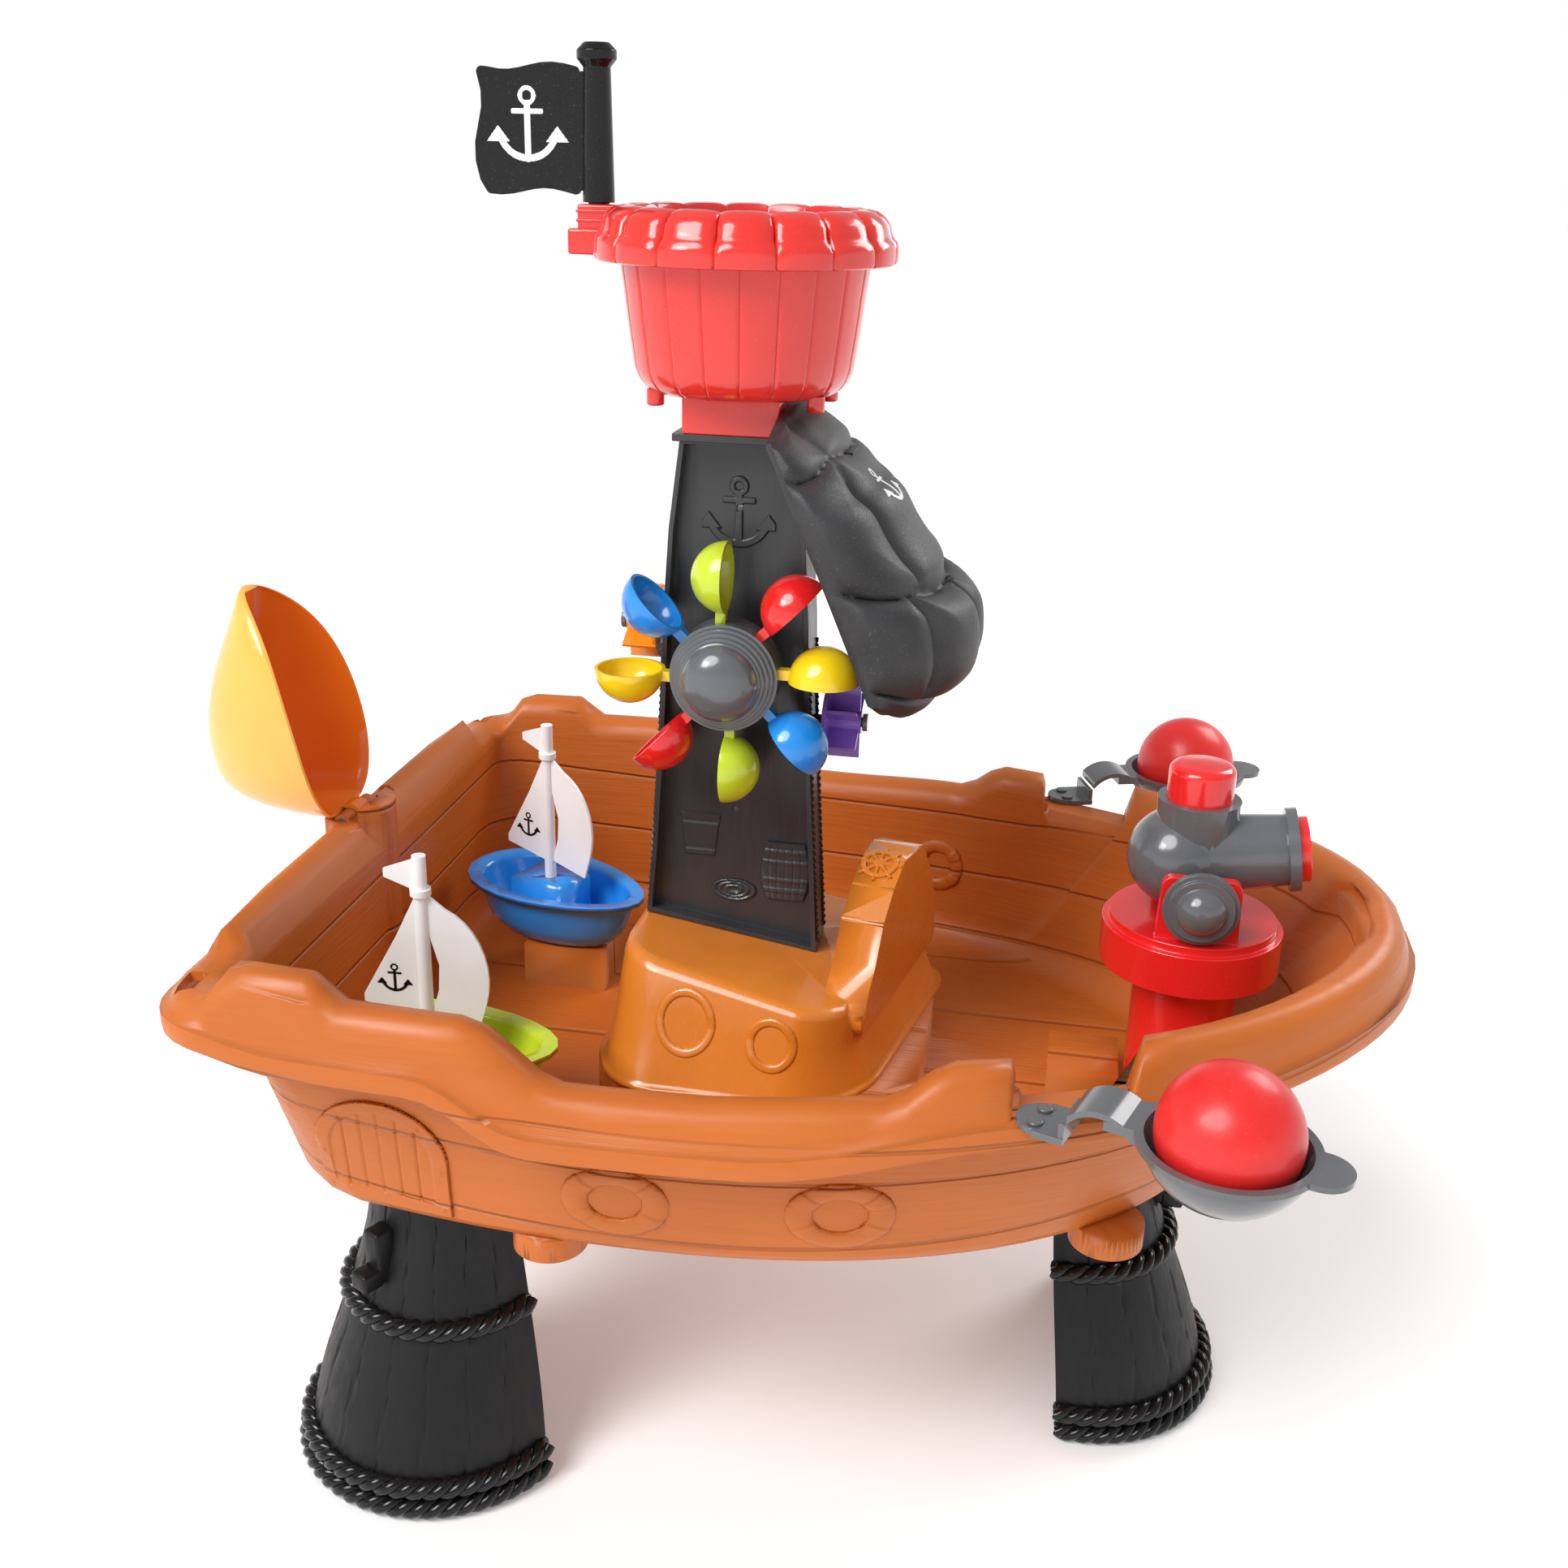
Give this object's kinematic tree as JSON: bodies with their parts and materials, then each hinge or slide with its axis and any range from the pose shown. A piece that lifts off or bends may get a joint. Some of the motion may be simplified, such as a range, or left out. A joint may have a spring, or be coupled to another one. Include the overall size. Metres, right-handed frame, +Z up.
{
  "type": "sand and water table",
  "caption": "Ship-shaped sand and water play table on three legs, with water wheel tower, tipping scoop, swivelling water cannon, catapults and boats.",
  "frame": {"origin": "on the floor, at the middle of the whole footprint", "axes": "+X towards the bow, +Y towards the far side, +Z up"},
  "size_m": [0.7634, 0.601, 0.8185],
  "materials": {
    "tub_brown": "matte, moulded wood grain",
    "black_matte": "satin, moulded wood grain",
    "steel": "plated",
    "house_orange": "gloss",
    "tower_grey": "satin gloss, moulded grain",
    "sail_black": "matte, cloth grain",
    "coral_red": "gloss",
    "black_gloss": "gloss",
    "grey_gloss": "gloss",
    "lime": "gloss",
    "red_gloss": "gloss",
    "yellow": "gloss",
    "blue": "gloss",
    "purple": "gloss",
    "orange": "gloss, slightly translucent",
    "ivory": "satin",
    "ball_red": "satin",
    "white": "gloss"
  },
  "bodies": {
    "table": {"tub": "tub_brown", "bow_leg": "black_matte", "near_leg": "black_matte", "far_leg": "black_matte", "leg_screws": "steel", "deck_house": "house_orange", "tower_front": "tower_grey", "tower_back": "tower_grey", "tower_collar": "tower_grey", "sail": "sail_black", "nest_bucket": "coral_red", "nest_rim": "coral_red", "wheel_axle": "grey_gloss", "paddle_axle": "grey_gloss", "spinner_axle": "grey_gloss", "scoop_pin": "grey_gloss", "turret_post": "red_gloss", "near_catapult_foot": "grey_gloss", "far_catapult_foot": "grey_gloss", "catapult_screws": "grey_gloss"},
    "flag": {"flag_pole": "black_gloss", "flag_plate": "black_gloss"},
    "water_wheel": {"wheel_hub": "grey_gloss", "hub_cap": "grey_gloss", "cup_lime_a": "lime", "cup_red_a": "red_gloss", "cup_yellow_a": "yellow", "cup_blue_a": "blue", "cup_lime_b": "lime", "cup_red_b": "red_gloss", "cup_yellow_b": "yellow", "cup_blue_b": "blue"},
    "paddle": {"paddle_wheel": "purple"},
    "spinner": {"spinner_wheel": "orange"},
    "tipping_scoop": {"scoop": "orange"},
    "turret_body": {"turret": "red_gloss"},
    "cannon": {"cannon_body": "grey_gloss", "trunnion_knobs": "grey_gloss", "muzzle_plug": "red_gloss", "pump_cylinder": "ivory", "pump_spring": "steel"},
    "button": {"pump_button": "red_gloss"},
    "near_arm": {"near_catapult_arm": "grey_gloss"},
    "far_arm": {"far_catapult_arm": "grey_gloss"},
    "near_ball_body": {"near_ball": "ball_red"},
    "far_ball_body": {"far_ball": "ball_red"},
    "blue_boat_body": {"blue_boat": "blue", "blue_boat_sail": "white"},
    "green_boat_body": {"green_boat": "lime", "green_boat_sail": "white"}
  },
  "joints": [
    {"name": "flag_turn", "type": "hinge", "parent": "table", "child": "flag", "pos_m": [-0.114, 0, 0.74], "axis": [0, 0, 1], "continuous": true},
    {"name": "water_wheel_spin", "type": "hinge", "parent": "table", "child": "water_wheel", "pos_m": [-0.0295, -0.04, 0.4785], "axis": [0, 1, 0], "continuous": true},
    {"name": "paddle_spin", "type": "hinge", "parent": "table", "child": "paddle", "pos_m": [0.035, 0.0065, 0.44], "axis": [1, 0, 0], "continuous": true},
    {"name": "spinner_spin", "type": "hinge", "parent": "table", "child": "spinner", "pos_m": [-0.09, 0.0065, 0.495], "axis": [1, 0, 0], "continuous": true},
    {"name": "scoop_tip", "type": "hinge", "parent": "table", "child": "tipping_scoop", "pos_m": [-0.287, 0, 0.352], "axis": [0, 1, 0], "range_deg": [0, 90]},
    {"name": "turret_turn", "type": "hinge", "parent": "table", "child": "turret_body", "pos_m": [0.254, 0, 0.32], "axis": [0, 0, 1], "continuous": true},
    {"name": "cannon_pitch", "type": "hinge", "parent": "turret_body", "child": "cannon", "pos_m": [0.254, 0, 0.361], "axis": [0, 1, 0], "range_deg": [-20, 15]},
    {"name": "button_press", "type": "slide", "parent": "cannon", "child": "button", "axis": [0, 0, -1], "range_m": [0, 0.008], "stiffness_N_per_m": 600, "springref_m": -0.002, "deforming": ["pump_spring"]},
    {"name": "near_catapult_flex", "type": "hinge", "parent": "table", "child": "near_arm", "pos_m": [0.18761, -0.23242, 0.3295], "axis": [0.3256, 0.9455, 0], "range_deg": [0, 10], "stiffness_Nm_per_rad": 4, "springref_deg": -1.72},
    {"name": "far_catapult_flex", "type": "hinge", "parent": "table", "child": "far_arm", "pos_m": [0.18761, 0.23242, 0.3295], "axis": [-0.3256, 0.9455, 0], "range_deg": [0, 10], "stiffness_Nm_per_rad": 4, "springref_deg": -1.72},
    {"name": "near_ball_lift", "type": "slide", "parent": "near_arm", "child": "near_ball_body", "axis": [0, 0, 1], "range_m": [0, 0.12]},
    {"name": "far_ball_lift", "type": "slide", "parent": "far_arm", "child": "far_ball_body", "axis": [0, 0, 1], "range_m": [0, 0.12]},
    {"name": "blue_boat_lift", "type": "slide", "parent": "table", "child": "blue_boat_body", "axis": [0, 0, 1], "range_m": [0, 0.15]},
    {"name": "green_boat_lift", "type": "slide", "parent": "table", "child": "green_boat_body", "axis": [0, 0, 1], "range_m": [0, 0.15]}
  ]
}
